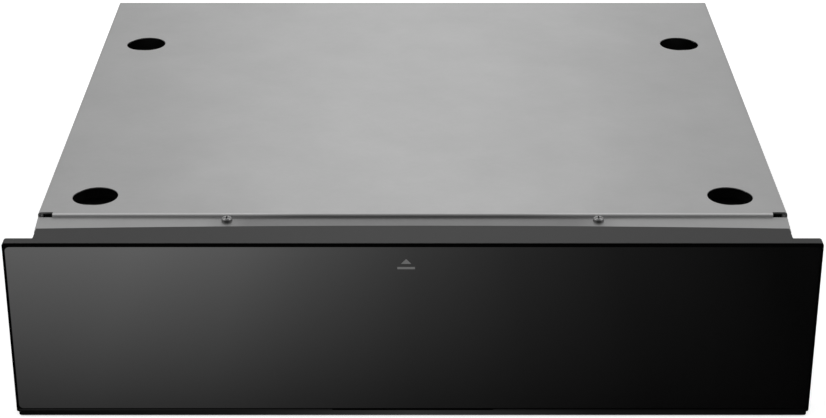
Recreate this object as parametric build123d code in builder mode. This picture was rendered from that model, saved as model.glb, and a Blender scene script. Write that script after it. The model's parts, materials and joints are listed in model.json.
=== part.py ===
from build123d import *
import math
import os

# A built-in warming drawer with a front frame 140 mm high, for a kitchen niche 564 mm wide.
# Millimetres. X runs to the right, Y to the back and Z up. The origin lies on the floor of the
# niche, under the middle of the whole drawer, and the glass front looks along -Y.

# ---------------------------------------------------------------- overall size
overall_width = 594.0  # front frame, from side to side
overall_depth = 535.0  # glass face to back edge of the cover
overall_height = 140.0  # niche floor to top edge of the front frame
body_width = 560.0  # housing behind the front frame, over its cover

# ---------------------------------------------------------------- sheets and clearances
cover_sheet = 0.8
body_sheet = 1.0
frame_sheet = 1.0
drawer_sheet = 1.0
carrier_sheet = 1.2
deck_sheet = 1.2
slip_gap = 0.3  # between neighbouring sheets, so that they go together
hole_gap = 0.1  # radial room around a shank in its hole
running_gap = 0.05  # radial room around a turning shaft

# ---------------------------------------------------------------- front
glass_thickness = 3.2
glass_side_margin = 3.1  # frame left bare beside the glass
glass_corner = 3.6
glass_bevel = 0.4
push_gap = 3.4  # room behind the glass for pushing the drawer in
glass_top_rise = 1.1  # glass above the top edge of the frame
frame_floor_gap = 0.4
frame_corner = 1.2
ledge_depth = 12.2  # full-width rim of the frame, front to back
ledge_corner = 3.3
frame_depth = 25.9  # frame front to the back edge of its neck
frame_bow = 5.0  # middle of the top strip's back edge behind its ends
frame_lip = 7.0  # height of the frame's edge over the opening
fixing_inset = 10.4  # fixing holes, from the side edge of the frame
fixing_half_spacing = 40.0
fixing_radius = 2.25
fixing_access_radius = 5.0
carrier_side_gap = 3.2  # glass carrier inside the frame opening
carrier_top_gap = 3.0
carrier_fold = 6.0
trim_floor_gap = 1.0
trim_gap = 0.2  # glass to trim, and trim to carrier
trim_corner = 1.5
trim_leg_lift = 0.6  # tongue of the trim above the frame's lower edge
trim_root = 0.8  # height over which tongue and bar are one piece
trim_leg_height = 12.4
trim_slot_width = 120.0
trim_slot_height = 1.0
trim_slot_depth = 2.4
mark_offset = -4.7  # printed mark, from the middle of the glass
mark_top_drop = 9.9  # glass top to the tip of the triangle
mark_triangle_width = 7.6
mark_triangle_height = 3.9
mark_bar_width = 12.8
mark_bar_height = 1.8
mark_bar_drop = 2.5  # base of the triangle to the bar
mark_print = 0.1

# ---------------------------------------------------------------- housing
foot_height = 3.0
foot_radius = 12.0
foot_stud_radius = 3.0
foot_stud_height = 3.5
foot_side_inset = 40.0
foot_end_inset = 60.0
pan_turn_up = 10.0
cover_top_drop = 0.8  # frame top to cover top
cover_setback = 51.9  # frame front to the front bend of the cover
cover_skirt = 12.0
cover_bend = 2.6  # outer radius of the bends at the sides and the back
front_bend = 1.4  # outer radius of the bend above the lip
skirt_gap = 2.0  # side panel to the skirt over it, clear of the bend
cover_notch = 11.4  # open corner beside the front bend
cover_notch_depth = 4.0
lip_drop = 2.2  # cover top to the top of its front lip
lip_tuck = 4.0  # lip under the frame's top strip
lip_side_gap = 0.5  # sides of the lip to the cover's corners
lip_taper = 1.2  # lip narrower on each side at its front corners
lip_screw_half_spacing = 138.0
lip_screw_setback = 46.1
foot_hole_radius = 16.2
foot_bulge_radius = 14.2  # smaller circle that widens each foot hole
foot_bulge_out = 3.9  # its middle from the hole's middle, outwards
foot_bulge_forward = 1.7  # and towards the front
foot_hole_half_spacing = 239.9
foot_hole_setback = 84.7  # frame front to the front pair of foot holes
foot_hole_pitch = 329.5
panel_overlap = 13.3  # side panel over the neck of the frame
panel_flange = 12.0
panel_step_gap = 3.6  # front sheet of the cover to the full height of the side panels
rear_flange = 14.0
beam_front_gap = 2.2
beam_leg = 5.0
shield_drop = 12.2  # cover underside to heat shield
shield_front_gap = 5.0
shield_front_lip = 4.0  # front edge of the heat shield, turned down
insulation_thickness = 8.0
insulation_cutout = 24.0  # radius of the opening under each foot hole
insulation_gap = 0.6
rear_bay_depth = 99.4  # partition to back edge
rear_panel_inset = 3.4  # back edge to rear panel
hot_chamber_depth = 54.0
vent_pitch = 9.0
vent_width = 4.0
vent_height = 46.0
side_vent_columns = 3
motor_vent_columns = 9
partition_vent_x = 165.0
partition_vent_columns = 9
intake_rim = 3.5  # sheet left above and below the round intake of the tray
rear_screw_heights = (30.0, 110.0)
frame_rivet_inset = 28.0  # from the lower and upper edge of the opening

# ---------------------------------------------------------------- runners
rail_thickness = 12.7
rail_height = 45.0
rail_sheet = 1.2
rail_centre_z = 62.0
rail_front_gap = 2.2  # neck of the frame to the runners
rail_rear_gap = 7.0  # runners to the partition
rail_edge = 0.5
rail_screw_inset = 30.0
middle_web = 3.0  # side panel to the web of the middle member
middle_inset = 4.6  # each member's edge below the edge of the outer one
inner_inset = 9.0
outer_reach = 8.4  # edge of each member's flanges, from the side panel
middle_reach = 11.0
inner_reach = 5.4
ball_gap = 0.1
ball_strip = 0.8
ball_strip_rim = 1.0
ball_row_length = 196.0
ball_count = 8
outer_ball_line = 6.0  # ball rows, from the side panel
inner_ball_line = 8.6

# ---------------------------------------------------------------- push latch
latch_setback = 62.0  # frame front to the latch body
latch_length = 68.0
latch_half_width = 14.0
latch_height = 12.0
latch_ear = 9.0
latch_ear_sheet = 2.0
plunger_radius = 4.0
plunger_length = 50.0
plunger_tip_radius = 5.0
plunger_tip_length = 5.0
plunger_stroke = 5.6  # tip of the plunger to the latch body
plunger_room = 12.0  # empty bore behind the plunger
plunger_gap = 0.15
striker_gap = 2.4
striker_sheet = 2.0
striker_half_width = 10.0
striker_foot = 12.0
striker_lift = 7.0  # lower edge of the striker above the niche floor

# ---------------------------------------------------------------- drawer
drawer_floor_z = 20.0
tray_drop = 13.0  # control deck to the top of the tray
drawer_rim = 8.0
drawer_rear_gap = 9.0  # drawer to partition
tray_vent_x = 165.0
deck_drop = 16.0  # top of the frame opening to the control deck
control_bay_depth = 45.0  # frame front to the front wall of the tray
bracket_flange = 12.0
deck_flange = 10.0
tray_mat_gap = 4.0
tray_mat_corner = 8.0
tray_mat_thickness = 1.5

# ---------------------------------------------------------------- controls
control_setback = 21.0  # frame front to the line of the controls
knob_x = 190.0
knob_radius = 10.5
knob_height = 8.6
knob_lift = 0.5  # knob above the deck
knob_grips = 18
knob_grip_radius = 0.9
knob_edge = 1.2
knob_pointer_width = 1.2
knob_pointer_depth = 0.5
regulator_radius = 13.0
regulator_height = 20.0
spindle_radius = 3.0
spindle_rise = 7.0
spindle_sink = 12.0
button_x = 148.0
button_width = 13.0
button_depth = 9.0
button_rise = 2.8
button_stem = 7.0
button_gap = 0.3
button_edge = 0.8
switch_width = 22.0
switch_depth = 16.0
switch_height = 19.0
switch_pocket = 11.0
lens_x = 120.0
lens_radius = 2.5
lens_rise = 0.8
deck_screw_inset = 12.5  # outer deck screws, from the side walls of the drawer

# ---------------------------------------------------------------- fan and heater
fan_z = 66.0
impeller_radius = 42.0
impeller_depth = 20.0
impeller_plate = 1.5
impeller_gap = 6.0  # impeller to fan plate
blade_count = 24
blade_length = 13.0
blade_thickness = 0.8
blade_angle = 35.0
blade_ring = 5.0
blade_ring_height = 1.0
blade_inset = 0.5  # blades inside the rim
hub_radius = 8.0
shaft_radius = 3.0
shaft_front = 2.0  # shaft in front of the hub
shaft_end = 1.0  # shaft behind its rear bearing
heater_radius = 55.0
heater_tube = 3.25
heater_gap = 21.0  # middle of the heater ring to the fan plate
heater_arc = 320.0
heater_leg = 12.0  # terminal behind the fan plate
heater_collar = 6.0
heater_collar_depth = 1.5
stator_width = 60.0
stator_below = 24.0
stator_above = 38.0
stator_stack = 16.0
stator_gap = 10.0  # fan plate to stator
stator_corner = 4.0
rotor_radius = 14.0
rotor_gap = 0.5
window_width = 32.0
window_height = 10.0
yoke_height = 10.0
coil_wall = 7.0
coil_gap = 0.1
bearing_arm = 2.0
bearing_height = 14.0
bearing_reach = 5.0
bearing_foot = 4.0
bush_radius = 6.0
bush_length = 5.0
standoff_radius = 3.0
cutout_x = -95.0
cutout_z = 82.0
cutout_radius = 8.0
cutout_depth = 9.0
cutout_tab = 8.0
tab_half_width = 3.0
tab_half_sheet = 0.4

# ---------------------------------------------------------------- mains inlet
gland_x = 200.0
gland_z = 45.0
gland_body_radius = 9.0
gland_head_radius = 12.0
gland_head_depth = 3.0
gland_nut_depth = 6.0
gland_bore_radius = 4.0
terminal_x = 140.0
terminal_width = 46.0
terminal_depth = 22.0
terminal_height = 18.0
terminal_ways = 3

# ---------------------------------------------------------------- fasteners
screw_head_radius = 4.0
screw_head_height = 2.6
screw_shank_radius = 1.9
screw_length = 8.0
rear_head_height = 2.2
low_head_radius = 3.6
low_head_height = 1.1
deck_head_radius = 2.8
deck_head_height = 1.4
rivet_head_radius = 3.2
rivet_head_height = 0.8
rivet_shank_radius = 1.6

# ---------------------------------------------------------------- derived planes
front_y = -overall_depth / 2
back_y = overall_depth / 2
half_width = overall_width / 2
half_body = body_width / 2
carrier_y = front_y + glass_thickness
carrier_back_y = carrier_y + carrier_sheet
frame_y = carrier_y + push_gap
neck_back_y = frame_y + frame_depth
frame_top = overall_height
glass_top = frame_top + glass_top_rise
cover_top = frame_top - cover_top_drop
cover_under = cover_top - cover_sheet
lip_top = cover_top - lip_drop
lip_under = lip_top - cover_sheet
base_top = foot_height + body_sheet
skirt_x = half_body - cover_sheet  # inside of the cover's skirts
panel_x = skirt_x - skirt_gap  # outside of the side panels
wall_x = panel_x - body_sheet  # inside of the side panels, outside of the frame's neck
neck_x = wall_x - frame_sheet  # inside of the frame's neck
sheet_x = wall_x - slip_gap  # edge of the sheets that stand between the side panels
opening_bottom = base_top + frame_sheet
opening_top = frame_top - frame_lip
glass_x = half_width - glass_side_margin
trim_leg_bottom = opening_bottom + trim_leg_lift
trim_leg_top = trim_leg_bottom + trim_leg_height
trim_top = trim_leg_bottom + trim_root
glass_bottom = trim_top + trim_gap
carrier_x = neck_x - carrier_side_gap
carrier_top = opening_top - carrier_top_gap
cover_front_y = frame_y + cover_setback
riser_x = half_body - cover_notch
riser_back_y = cover_front_y + cover_sheet
side_front_y = neck_back_y - panel_overlap
side_back_y = back_y - cover_bend
panel_step_y = riser_back_y + panel_step_gap
rear_panel_y = back_y - rear_panel_inset
rear_flange_y = rear_panel_y - body_sheet
partition_y = back_y - rear_bay_depth
fan_plate_y = partition_y + body_sheet + hot_chamber_depth
fan_plate_back_y = fan_plate_y + body_sheet
upper_flange_z = cover_under - body_sheet  # underside of the side panels' upper flanges
shield_z = cover_under - shield_drop
shield_top = shield_z + cover_sheet
shield_front_y = cover_front_y + shield_front_gap
shield_back_y = partition_y - slip_gap
rail_front_y = neck_back_y + rail_front_gap
rail_back_y = partition_y - rail_rear_gap
rail_mid_y = (rail_front_y + rail_back_y) / 2
drawer_x = wall_x - rail_thickness  # outside of the drawer's side walls
drawer_in_x = drawer_x - drawer_sheet
drawer_floor_top = drawer_floor_z + drawer_sheet
deck_z = opening_top - deck_drop
drawer_wall_top = deck_z - tray_drop
intake_radius = (drawer_wall_top - drawer_floor_top) / 2 - intake_rim
drawer_back_y = partition_y - drawer_rear_gap
tray_front_y = frame_y + control_bay_depth
tray_in_front_y = tray_front_y + drawer_sheet
tray_in_back_y = drawer_back_y - drawer_sheet
deck_top = deck_z + deck_sheet
control_y = frame_y + control_setback
latch_front_y = frame_y + latch_setback
latch_back_y = latch_front_y + latch_length
latch_mid_y = (latch_front_y + latch_back_y) / 2
latch_axis_z = base_top + latch_height / 2
plunger_reach = plunger_tip_length + plunger_stroke
plunger_front_y = latch_front_y - plunger_reach
stator_y = fan_plate_back_y + stator_gap
stator_back_y = stator_y + stator_stack

sides = (("left", -1), ("right", 1))
foot_x = half_body - foot_side_inset
foot_places = [
    (x, y) for x in (-foot_x, foot_x) for y in (frame_y + foot_end_inset, back_y - foot_end_inset)
]
rail_screw_ys = (rail_front_y + rail_screw_inset, rail_mid_y, rail_back_y - rail_screw_inset)
frame_rivet_y = neck_back_y - panel_overlap / 2
frame_rivet_zs = (opening_bottom + frame_rivet_inset, opening_top - frame_rivet_inset)
rear_screw_places = [
    (side * (wall_x - rear_flange / 2), z) for side in (-1, 1) for z in rear_screw_heights
]
latch_ear_places = [(side * (latch_half_width + latch_ear / 2), latch_mid_y) for side in (-1, 1)]
lip_screw_places = [(side * lip_screw_half_spacing, frame_y + lip_screw_setback) for side in (-1, 1)]
fixing_z = (frame_top + frame_floor_gap) / 2
fixing_places = [
    (side * (half_width - fixing_inset), fixing_z + row * fixing_half_spacing)
    for side in (-1, 1)
    for row in (-1, 1)
]
carrier_screw_places = [
    (side * (drawer_in_x - bracket_flange / 2), z)
    for side in (-1, 1)
    for z in (drawer_floor_top + bracket_flange, deck_z - bracket_flange)
]
deck_screw_y = tray_front_y - deck_flange / 2
deck_screw_x = drawer_in_x - deck_screw_inset
deck_screw_xs = (-deck_screw_x, -deck_screw_x / 3, deck_screw_x / 3, deck_screw_x)
foot_hole_places = [
    (side, side * foot_hole_half_spacing, frame_y + foot_hole_setback + row * foot_hole_pitch)
    for side in (-1, 1)
    for row in (0, 1)
]


# ---------------------------------------------------------------- helpers
def block(x, y, z, mode=Mode.ADD):
    """Put a box between the two values of each pair into the part being built."""
    spans = (x, y, z)
    with Locations(tuple((low + high) / 2 for low, high in spans)):
        Box(*(abs(high - low) for low, high in spans), mode=mode)


def rod(start, direction, radius, length, mode=Mode.ADD):
    """Put a round bar into the part being built, from start along direction."""
    with Locations(Plane(origin=start, z_dir=direction)):
        Cylinder(radius, length, align=(Align.CENTER, Align.CENTER, Align.MIN), mode=mode)


def upright(y):
    """Upright plane at depth y. A positive extrusion from it runs forwards, towards -Y."""
    return Plane.XZ.offset(-y)


def slot_row(centre, pitch, columns):
    """Cut upright vent slots side by side out of the sketch being built."""
    with Locations(centre):
        with GridLocations(pitch, pitch, columns, 1):
            SlotOverall(vent_height, vent_width, rotation=90, mode=Mode.SUBTRACT)


def intake_grille(centre):
    """Cut a round field of upright slots out of the sketch being built."""
    columns = int(intake_radius / vent_pitch)
    for column in range(-columns, columns + 1):
        offset = column * vent_pitch
        height = 2 * math.sqrt(intake_radius**2 - offset**2)
        if height > 2 * vent_width:
            with Locations((centre[0] + offset, centre[1])):
                SlotOverall(height, vent_width, rotation=90, mode=Mode.SUBTRACT)


def make_screw(head_radius, head_height, shank_length):
    """Pan-head screw with a cross recess, its head on the origin and its shank along -Z."""
    recess_length = 1.25 * head_radius
    recess_width = 0.26 * head_radius
    with BuildPart() as screw:
        with BuildSketch(Plane.XY):
            Circle(head_radius)
        extrude(amount=head_height)
        fillet(screw.edges().sort_by(Axis.Z)[-1], radius=0.6 * head_height)
        with BuildSketch(Plane.XY.offset(head_height)):
            Rectangle(recess_length, recess_width)
            Rectangle(recess_width, recess_length)
        extrude(amount=-0.5 * head_height, mode=Mode.SUBTRACT)
        with BuildSketch(Plane.XY):
            Circle(screw_shank_radius)
        extrude(amount=-shank_length)
    return screw.part


def make_rivet(grip):
    """Blind rivet through a stack as thick as grip, its outer head on the origin, along -Z."""
    bulb_radius = 1.6 * rivet_shank_radius
    bulb_height = 0.6 * rivet_head_height
    with BuildPart() as rivet:
        with BuildSketch(Plane.XY):
            Circle(rivet_head_radius)
        extrude(amount=rivet_head_height)
        fillet(rivet.edges().sort_by(Axis.Z)[-1], radius=0.7 * rivet_head_height)
        with BuildSketch(Plane.XY):
            Circle(rivet_shank_radius)
        extrude(amount=-grip)
        with BuildSketch(Plane.XY.offset(-grip)):
            Circle(bulb_radius)
        extrude(amount=-bulb_height)
    return rivet.part


def place_all(fastener, planes):
    """Put one copy of a fastener on each plane, its head along the plane's normal."""
    with BuildPart() as group:
        with Locations(*planes):
            add(fastener)
    return group.part


def save(part, name):
    """Label a finished piece and write it to its own file."""
    part.label = name
    export_step(part, f"parts/{name}.step")


os.makedirs("parts", exist_ok=True)

# ================================================================ housing
# ---- feet: four round glides, each with a stud through the base pan
with BuildPart() as feet:
    with BuildSketch(Plane.XY):
        with Locations(*foot_places):
            Circle(foot_radius)
    extrude(amount=foot_height)
    fillet(feet.edges().group_by(Axis.Z)[0], radius=0.3 * foot_height)
    with BuildSketch(Plane.XY.offset(foot_height)):
        with Locations(*foot_places):
            Circle(foot_stud_radius)
    extrude(amount=foot_stud_height)
save(feet.part, "feet")

# ---- base pan: flat sheet, turned up at the back
with BuildPart() as base_pan:
    block((-panel_x, panel_x), (frame_y + ledge_depth + slip_gap, back_y), (foot_height, base_top))
    block((-panel_x, panel_x), (back_y - body_sheet, back_y), (base_top, base_top + pan_turn_up))
    with BuildSketch(Plane.XY.offset(foot_height)):
        with Locations(*foot_places):
            Circle(foot_stud_radius + hole_gap)
        with Locations(*latch_ear_places):
            Circle(rivet_shank_radius + hole_gap)
    extrude(amount=body_sheet, mode=Mode.SUBTRACT)
save(base_pan.part, "base_pan")

# ---- side panels: folded sheets, stepped down at the front where the cover's lip lies on them
for side_name, side in sides:
    with BuildPart() as side_panel:
        with BuildSketch(Plane.YZ.offset(side * wall_x)):
            with BuildLine():
                Polyline(
                    (side_front_y, base_top),
                    (side_back_y, base_top),
                    (side_back_y, cover_under),
                    (panel_step_y, cover_under),
                    (panel_step_y, lip_under),
                    (side_front_y, lip_under),
                    close=True,
                )
            make_face()
            with Locations(*((y, rail_centre_z) for y in rail_screw_ys)):
                Circle(screw_shank_radius + hole_gap, mode=Mode.SUBTRACT)
            with Locations(*((frame_rivet_y, z) for z in frame_rivet_zs)):
                Circle(rivet_shank_radius + hole_gap, mode=Mode.SUBTRACT)
            slot_row(((fan_plate_back_y + rear_flange_y) / 2, fan_z), vent_pitch, side_vent_columns)
        extrude(amount=side * body_sheet)
        flange_x = (side * (wall_x - panel_flange), side * wall_x)
        behind_neck_y = neck_back_y + slip_gap
        flange_back_y = rear_flange_y - body_sheet
        block(flange_x, (behind_neck_y, flange_back_y), (base_top, base_top + body_sheet))
        block(flange_x, (panel_step_y, flange_back_y), (upper_flange_z, cover_under))
        block(flange_x, (behind_neck_y, cover_front_y), (lip_under - body_sheet, lip_under))
        rear_flange_x = (side * (wall_x - rear_flange), side * wall_x)
        block(rear_flange_x, (flange_back_y, rear_flange_y), (base_top, cover_under))
        for x, z in rear_screw_places:
            if x * side > 0:
                rod((x, rear_flange_y, z), (0, -1, 0), screw_shank_radius + hole_gap, body_sheet,
                    mode=Mode.SUBTRACT)
    save(side_panel.part, f"side_panel_{side_name}")

# ---- rear panel: flat sheet with cooling slots and the hole for the mains inlet
with BuildPart() as rear_panel:
    with BuildSketch(upright(rear_panel_y)):
        with Locations((0, (base_top + cover_under) / 2)):
            Rectangle(2 * sheet_x, cover_under - base_top)
        slot_row((0, fan_z), vent_pitch, motor_vent_columns)
        slot_row((-partition_vent_x, fan_z), vent_pitch, motor_vent_columns)
        with Locations((gland_x, gland_z)):
            Circle(gland_body_radius + hole_gap, mode=Mode.SUBTRACT)
        with Locations(*rear_screw_places):
            Circle(screw_shank_radius + hole_gap, mode=Mode.SUBTRACT)
    extrude(amount=body_sheet)
save(rear_panel.part, "rear_panel")

rear_screw = make_screw(screw_head_radius, rear_head_height, screw_length)
rear_screw_planes = [
    Plane(origin=(x, rear_panel_y, z), x_dir=(1, 0, 0), z_dir=(0, 1, 0)) for x, z in rear_screw_places
]
save(place_all(rear_screw, rear_screw_planes), "rear_screws")

# ---- top cover: one sheet with bent skirts, a joggled front lip and four foot holes
skirt_z = cover_under - cover_skirt
with BuildPart() as cover_hollow:
    block((-skirt_x, skirt_x), (riser_back_y, back_y - cover_sheet), (skirt_z, cover_under))
    hollow_edges = cover_hollow.faces().sort_by(Axis.Z)[-1].edges().sort_by(Axis.Y)
    fillet(hollow_edges[1:], radius=cover_bend - cover_sheet)
    front_edge = cover_hollow.faces().sort_by(Axis.Z)[-1].edges().sort_by(Axis.Y)[0]
    fillet(front_edge, radius=front_bend - cover_sheet)

with BuildPart() as top_cover:
    block((-half_body, half_body), (cover_front_y, back_y), (skirt_z, cover_top))
    cover_edges = top_cover.faces().sort_by(Axis.Z)[-1].edges().sort_by(Axis.Y)
    fillet(cover_edges[1:], radius=cover_bend)
    front_edge = top_cover.faces().sort_by(Axis.Z)[-1].edges().sort_by(Axis.Y)[0]
    fillet(front_edge, radius=front_bend)
    add(cover_hollow.part, mode=Mode.SUBTRACT)
    block((-riser_x, riser_x), (cover_front_y, riser_back_y), (skirt_z, lip_under), mode=Mode.SUBTRACT)
    for side_name, side in sides:
        block((side * riser_x, side * half_body), (cover_front_y, cover_front_y + cover_notch_depth),
              (skirt_z, cover_top), mode=Mode.SUBTRACT)
    lip_side_y = cover_front_y - lip_side_gap
    tongue_x = neck_x - slip_gap
    right_edge = [
        (tongue_x, neck_back_y - lip_tuck),
        (tongue_x, neck_back_y + slip_gap),
        (skirt_x - lip_taper, neck_back_y + slip_gap),
        (skirt_x, lip_side_y),
        (riser_x, lip_side_y),
        (riser_x, riser_back_y),
    ]
    left_edge = [(-x, y) for x, y in reversed(right_edge)]
    with BuildSketch(Plane.XY.offset(lip_under)):
        with BuildLine():
            Polyline(*right_edge, *left_edge, close=True)
        make_face()
        with Locations(*lip_screw_places):
            Circle(screw_shank_radius + hole_gap, mode=Mode.SUBTRACT)
    extrude(amount=cover_sheet)
    with BuildSketch(Plane.XY.offset(cover_under)):
        with Locations(*((x, y) for side, x, y in foot_hole_places)):
            Circle(foot_hole_radius)
        with Locations(*((x + side * foot_bulge_out, y - foot_bulge_forward)
                         for side, x, y in foot_hole_places)):
            Circle(foot_bulge_radius)
    extrude(amount=cover_sheet, mode=Mode.SUBTRACT)
save(top_cover.part, "top_cover")

# ---- front beam: channel across the housing under the cover's lip
beam_x = wall_x - panel_flange - slip_gap
beam_front_y = neck_back_y + beam_front_gap
beam_z = (lip_under - body_sheet - beam_leg, lip_under - body_sheet)
with BuildPart() as front_beam:
    block((-beam_x, beam_x), (beam_front_y, riser_back_y), (beam_z[1], lip_under))
    block((-beam_x, beam_x), (beam_front_y, beam_front_y + body_sheet), beam_z)
    block((-beam_x, beam_x), (riser_back_y - body_sheet, riser_back_y), beam_z)
    for x, y in lip_screw_places:
        rod((x, y, lip_under), (0, 0, -1), screw_shank_radius + hole_gap, body_sheet, mode=Mode.SUBTRACT)
save(front_beam.part, "front_beam")

cover_screw = make_screw(screw_head_radius, screw_head_height, cover_sheet + body_sheet + beam_leg)
save(place_all(cover_screw, [Plane(origin=(x, y, lip_top)) for x, y in lip_screw_places]), "cover_screws")

# ---- front frame: painted sheet folded into a wide rim with a neck that fits the housing
with BuildPart() as front_frame:
    block((-half_width, half_width), (frame_y, frame_y + ledge_depth), (frame_floor_gap, frame_top))
    corner_edges = front_frame.edges().filter_by(Axis.Y)
    fillet(corner_edges, radius=frame_corner)
    ledge_edges = front_frame.faces().sort_by(Axis.Y)[-1].edges().filter_by(Axis.Z)
    fillet(ledge_edges, radius=ledge_corner)
    block((-wall_x, wall_x), (frame_y, neck_back_y), (base_top, frame_top))
    block((-neck_x, neck_x), (frame_y, neck_back_y), (opening_bottom, opening_top), mode=Mode.SUBTRACT)
    block((-neck_x, neck_x), (frame_y + frame_sheet, neck_back_y - frame_sheet),
          (opening_top, frame_top - frame_sheet), mode=Mode.SUBTRACT)
    block((-neck_x, neck_x), (neck_back_y - frame_sheet, neck_back_y), (opening_top, lip_top),
          mode=Mode.SUBTRACT)
    block((-wall_x, wall_x), (frame_y + frame_sheet, frame_y + ledge_depth),
          (frame_floor_gap + frame_sheet, base_top), mode=Mode.SUBTRACT)
    rim_back_y = frame_y + ledge_depth
    for side_name, side in sides:
        block((side * wall_x, side * (half_width - ledge_corner)),
              (frame_y + frame_sheet, rim_back_y - frame_sheet),
              (frame_floor_gap + frame_sheet, frame_top - frame_sheet), mode=Mode.SUBTRACT)
        for z in frame_rivet_zs:
            rod((side * wall_x, frame_rivet_y, z), (-side, 0, 0), rivet_shank_radius + hole_gap,
                frame_sheet, mode=Mode.SUBTRACT)
    # the top strip reaches back in a shallow bow over the cover's lip
    with BuildSketch(Plane.XY.offset(frame_top - frame_sheet)):
        with BuildLine():
            ThreePointArc((-wall_x, neck_back_y), (0, neck_back_y + frame_bow), (wall_x, neck_back_y))
            Line((wall_x, neck_back_y), (-wall_x, neck_back_y))
        make_face()
    extrude(amount=frame_sheet)
    for x, z in fixing_places:
        rod((x, frame_y, z), (0, 1, 0), fixing_access_radius, frame_sheet, mode=Mode.SUBTRACT)
        rod((x, rim_back_y - frame_sheet, z), (0, 1, 0), fixing_radius, frame_sheet, mode=Mode.SUBTRACT)
save(front_frame.part, "front_frame")

frame_rivet_planes = [
    Plane(origin=(side * panel_x, frame_rivet_y, z), x_dir=(0, 1, 0), z_dir=(side, 0, 0))
    for side in (-1, 1)
    for z in frame_rivet_zs
]
save(place_all(make_rivet(body_sheet + frame_sheet), frame_rivet_planes), "frame_rivets")

# ---- heat shield: sheet hung from the side panels, above the drawer
with BuildPart() as heat_shield:
    block((-sheet_x, sheet_x), (shield_front_y, shield_back_y), (shield_z, shield_top))
    block((-sheet_x, sheet_x), (shield_front_y, shield_front_y + cover_sheet),
          (shield_z - shield_front_lip, shield_z))
    for side_name, side in sides:
        block((side * (sheet_x - cover_sheet), side * sheet_x), (shield_front_y, shield_back_y),
              (shield_top, upper_flange_z))
save(heat_shield.part, "heat_shield")

# ---- insulation: one mat on the heat shield, cut out under the foot holes
mat_x = sheet_x - cover_sheet - insulation_gap
mat_y = (shield_front_y + insulation_gap, shield_back_y - insulation_gap)
with BuildPart() as insulation_mat:
    block((-mat_x, mat_x), mat_y, (shield_top, shield_top + insulation_thickness))
    with BuildSketch(Plane.XY.offset(shield_top)):
        with Locations(*((x, y) for side, x, y in foot_hole_places)):
            Circle(insulation_cutout)
    extrude(amount=insulation_thickness, mode=Mode.SUBTRACT)
save(insulation_mat.part, "insulation_mat")

# ================================================================ warm air unit
# ---- heater: an open ring round the impeller, with both ends led back through the fan plate
ring_y = fan_plate_y - heater_gap
heater_end_angle = math.radians(heater_arc)
heater_ends = [
    (heater_radius, fan_z),
    (heater_radius * math.cos(heater_end_angle), fan_z + heater_radius * math.sin(heater_end_angle)),
]
with BuildPart() as heater_element:
    with Locations((0, ring_y, fan_z)):
        Torus(heater_radius, heater_tube, major_angle=heater_arc, rotation=(90, 0, 0))
    for x, z in heater_ends:
        with Locations((x, ring_y, z)):
            Sphere(heater_tube)
        rod((x, ring_y, z), (0, 1, 0), heater_tube, heater_gap + body_sheet + heater_leg)
        rod((x, fan_plate_y, z), (0, -1, 0), heater_collar, heater_collar_depth)
save(heater_element.part, "heater_element")

# ---- partition and fan plate: upright sheets before and behind the hot chamber
upright_sheet_z = (base_top + body_sheet, upper_flange_z)
with BuildPart() as rear_partition:
    with BuildSketch(upright(partition_y + body_sheet)):
        with Locations((0, sum(upright_sheet_z) / 2)):
            Rectangle(2 * sheet_x, upright_sheet_z[1] - upright_sheet_z[0])
        intake_grille((0, fan_z))
        for side_name, side in sides:
            slot_row((side * partition_vent_x, fan_z), vent_pitch, partition_vent_columns)
    extrude(amount=body_sheet)
save(rear_partition.part, "rear_partition")

with BuildPart() as fan_plate:
    with BuildSketch(upright(fan_plate_back_y)):
        with Locations((0, sum(upright_sheet_z) / 2)):
            Rectangle(2 * sheet_x, upright_sheet_z[1] - upright_sheet_z[0])
        with Locations((0, fan_z)):
            Circle(bush_radius + slip_gap, mode=Mode.SUBTRACT)
        with Locations(*heater_ends):
            Circle(heater_tube + hole_gap, mode=Mode.SUBTRACT)
    extrude(amount=body_sheet)
save(fan_plate.part, "fan_plate")

# ---- motor: laminated stator on standoffs, coil round its upper yoke, two bearing bridges
window_z = fan_z + stator_above - yoke_height - window_height
with BuildPart() as motor_stator:
    with BuildSketch(upright(stator_back_y)):
        with Locations((0, fan_z + (stator_above - stator_below) / 2)):
            RectangleRounded(stator_width, stator_above + stator_below, stator_corner)
        with Locations((0, fan_z)):
            Circle(rotor_radius + rotor_gap, mode=Mode.SUBTRACT)
        with Locations((0, window_z + window_height / 2)):
            Rectangle(window_width, window_height, mode=Mode.SUBTRACT)
    extrude(amount=stator_stack)
    for x in (-stator_width / 2 + 2 * standoff_radius, stator_width / 2 - 2 * standoff_radius):
        for z in (fan_z - stator_below + 2 * standoff_radius, fan_z + stator_above - 2 * standoff_radius):
            rod((x, stator_y, z), (0, -1, 0), standoff_radius, stator_gap)
save(motor_stator.part, "motor_stator")

yoke_z = fan_z + stator_above - yoke_height / 2
coil_half_width = window_width / 2 - coil_gap
with BuildPart() as motor_coil:
    block((-coil_half_width, coil_half_width), (stator_y - coil_wall, stator_back_y + coil_wall),
          (yoke_z - yoke_height / 2 - coil_wall, yoke_z + yoke_height / 2 + coil_wall))
    fillet(motor_coil.edges().filter_by(Axis.X), radius=0.4 * coil_wall)
    block((-coil_half_width, coil_half_width), (stator_y - coil_gap, stator_back_y + coil_gap),
          (yoke_z - yoke_height / 2 - coil_gap, yoke_z + yoke_height / 2 + coil_gap), mode=Mode.SUBTRACT)
save(motor_coil.part, "motor_coil")

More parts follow.
